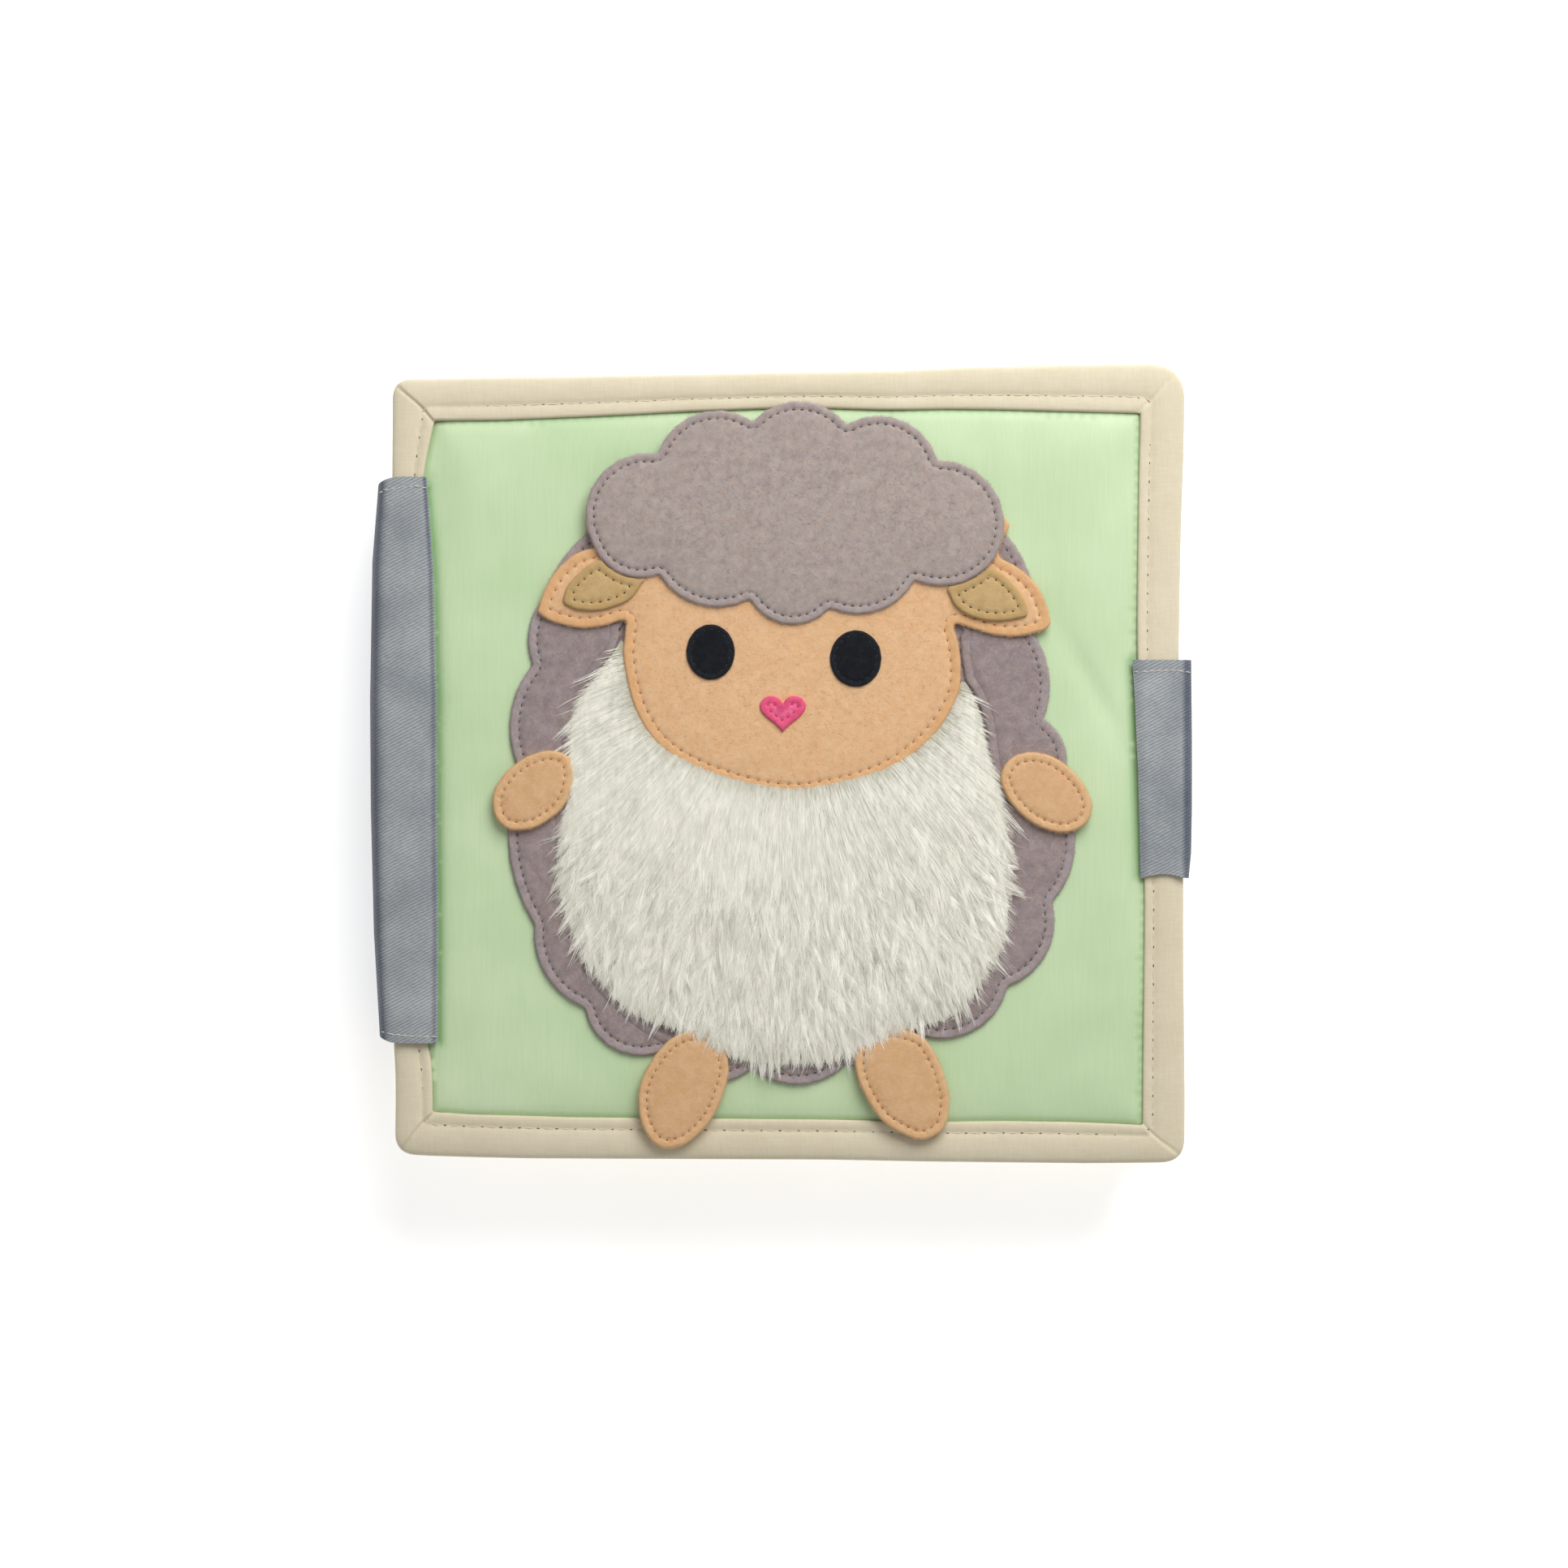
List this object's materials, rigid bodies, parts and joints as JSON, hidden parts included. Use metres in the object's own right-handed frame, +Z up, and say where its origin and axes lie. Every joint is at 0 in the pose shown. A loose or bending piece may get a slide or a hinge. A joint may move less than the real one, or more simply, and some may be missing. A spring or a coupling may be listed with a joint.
{
  "type": "quiet book",
  "caption": "Soft cloth activity book with bound padded covers, a felt and fur sheep on the front, swinging leaves, a wrap-round spine strip and a closing strap.",
  "frame": {"origin": "centre of the closed book's bounding box, at the bottom, on the surface it lies on", "axes": "+Z up through the closed book, front cover on top; +X from the spine to the fore-edge; +Y towards the covers' top edge"},
  "size_m": [0.2188, 0.2122, 0.05],
  "materials": {
    "green_sateen": "cotton sateen with a soft sheen",
    "wadding": "needled cotton wadding",
    "bias_tape": "plain cotton bias tape, topstitched",
    "coral_cotton": "plain cotton",
    "yellow_cotton": "plain cotton",
    "blue_cotton": "plain cotton",
    "twill": "blue-grey cotton twill",
    "hook_and_loop": "woven hook and loop tape",
    "grey_felt": "wool felt",
    "pale_grey_felt": "wool felt",
    "peach_felt": "wool felt",
    "tan_felt": "wool felt",
    "black_felt": "wool felt",
    "pink_felt": "wool felt",
    "ivory_fur": "faux fur with a pile of about 14 mm",
    "white_felt": "wool felt",
    "red_felt": "wool felt",
    "navy_felt": "wool felt",
    "brown_felt": "wool felt",
    "beech": "oiled beech",
    "zip_nylon": "woven nylon tape with coil teeth",
    "nickel": "nickel plated zinc"
  },
  "bodies": {
    "back_cover": {"back_cover_panel": "green_sateen", "back_cover_lining": "green_sateen", "back_cover_wadding": "wadding", "back_cover_binding": "bias_tape", "spine_back_flap": "twill", "spine_wrap": "twill", "loop_tape": "hook_and_loop", "counting_ribbon": "navy_felt"},
    "leaf_3": {"leaf_3_front_panel": "blue_cotton", "leaf_3_back_panel": "blue_cotton", "leaf_3_wadding": "wadding", "leaf_3_binding": "bias_tape", "leaf_3_hinge_tape": "bias_tape", "barn_wall": "red_felt", "barn_roof": "brown_felt", "door_track": "bias_tape"},
    "leaf_2": {"leaf_2_front_panel": "yellow_cotton", "leaf_2_back_panel": "yellow_cotton", "leaf_2_wadding": "wadding", "leaf_2_binding": "bias_tape", "leaf_2_hinge_tape": "bias_tape", "zip_tape": "zip_nylon"},
    "leaf_1": {"leaf_1_front_panel": "coral_cotton", "leaf_1_back_panel": "coral_cotton", "leaf_1_wadding": "wadding", "leaf_1_binding": "bias_tape", "leaf_1_hinge_tape": "bias_tape", "clock_face": "white_felt", "clock_button": "beech"},
    "front_cover": {"front_cover_panel": "green_sateen", "front_cover_lining": "green_sateen", "front_cover_wadding": "wadding", "front_cover_binding": "bias_tape", "spine_front_flap": "twill", "strap_front_flap": "twill", "sheep_body": "grey_felt", "belly_fur": "ivory_fur", "sheep_face": "peach_felt", "fringe": "pale_grey_felt", "left_inner_ear": "tan_felt", "right_inner_ear": "tan_felt", "left_eye": "black_felt", "right_eye": "black_felt", "nose": "pink_felt"},
    "strap_side": {"strap_side": "twill"},
    "strap_tab": {"strap_tab": "twill", "hook_tape": "hook_and_loop"},
    "left_hand": {"left_hand": "peach_felt"},
    "right_hand": {"right_hand": "peach_felt"},
    "left_foot": {"left_foot": "peach_felt"},
    "right_foot": {"right_foot": "peach_felt"},
    "hour_hand": {"hour_hand": "red_felt"},
    "minute_hand": {"minute_hand": "navy_felt"},
    "zip_slider": {"zip_slider": "nickel"},
    "barn_door": {"barn_door": "white_felt"},
    "counting_disc_1": {"counting_disc_1": "beech"},
    "counting_disc_2": {"counting_disc_2": "beech"},
    "counting_disc_3": {"counting_disc_3": "beech"}
  },
  "joints": [
    {"name": "leaf_3_turn", "type": "hinge", "parent": "back_cover", "child": "leaf_3", "pos_m": [-0.11595, 0, 0.025], "axis": [0, -1, 0], "range_deg": [0, 180], "deforming": ["spine_wrap"]},
    {"name": "leaf_2_turn", "type": "hinge", "parent": "leaf_3", "child": "leaf_2", "pos_m": [-0.11595, 0, 0.025], "axis": [0, -1, 0], "range_deg": [0, 180]},
    {"name": "leaf_1_turn", "type": "hinge", "parent": "leaf_2", "child": "leaf_1", "pos_m": [-0.11595, 0, 0.025], "axis": [0, -1, 0], "range_deg": [0, 180]},
    {"name": "front_cover_turn", "type": "hinge", "parent": "leaf_1", "child": "front_cover", "pos_m": [-0.11595, 0, 0.025], "axis": [0, -1, 0], "range_deg": [0, 180], "deforming": ["strap_tab", "hook_tape"]},
    {"name": "strap_open", "type": "hinge", "parent": "front_cover", "child": "strap_side", "pos_m": [0.10905, 0, 0.0396], "axis": [0, -1, 0], "range_deg": [0, 90]},
    {"name": "strap_tab_open", "type": "hinge", "parent": "strap_side", "child": "strap_tab", "pos_m": [0.10905, 0, 0.0004], "axis": [0, -1, 0], "range_deg": [0, 90]},
    {"name": "left_hand_lift", "type": "hinge", "parent": "front_cover", "child": "left_hand", "pos_m": [-0.05787, 0.00159, 0.0431], "axis": [-0.7071, 0.7071, 0], "range_deg": [0, 90]},
    {"name": "right_hand_lift", "type": "hinge", "parent": "front_cover", "child": "right_hand", "pos_m": [0.05983, -0.00046, 0.0431], "axis": [-0.5408, -0.8412, 0], "range_deg": [0, 90]},
    {"name": "left_foot_lift", "type": "hinge", "parent": "front_cover", "child": "left_foot", "pos_m": [-0.0218, -0.07005, 0.0431], "axis": [-0.9707, 0.2402, 0], "range_deg": [0, 90]},
    {"name": "right_foot_lift", "type": "hinge", "parent": "front_cover", "child": "right_foot", "pos_m": [0.0285, -0.07058, 0.0431], "axis": [-0.9627, -0.2707, 0], "range_deg": [0, 90]},
    {"name": "hour_hand_turn", "type": "hinge", "parent": "leaf_1", "child": "hour_hand", "pos_m": [0.00205, 0, 0.0294], "axis": [0, 0, 1], "continuous": true},
    {"name": "minute_hand_turn", "type": "hinge", "parent": "leaf_1", "child": "minute_hand", "pos_m": [0.00205, 0, 0.0294], "axis": [0, 0, 1], "continuous": true},
    {"name": "zip_slide", "type": "slide", "parent": "leaf_2", "child": "zip_slider", "axis": [1, 0, 0], "range_m": [0, 0.106]},
    {"name": "barn_door_slide", "type": "slide", "parent": "leaf_3", "child": "barn_door", "axis": [1, 0, 0], "range_m": [0, 0.033]},
    {"name": "counting_disc_1_slide", "type": "slide", "parent": "back_cover", "child": "counting_disc_1", "axis": [1, 0, 0], "range_m": [0, 0.021]},
    {"name": "counting_disc_2_slide", "type": "slide", "parent": "back_cover", "child": "counting_disc_2", "axis": [1, 0, 0], "range_m": [0, 0.021]},
    {"name": "counting_disc_3_slide", "type": "slide", "parent": "back_cover", "child": "counting_disc_3", "axis": [1, 0, 0], "range_m": [0, 0.021]}
  ],
  "couplings": [
    {"joint": "strap_tab_open", "follows": "strap_open", "ratio": 1}
  ]
}
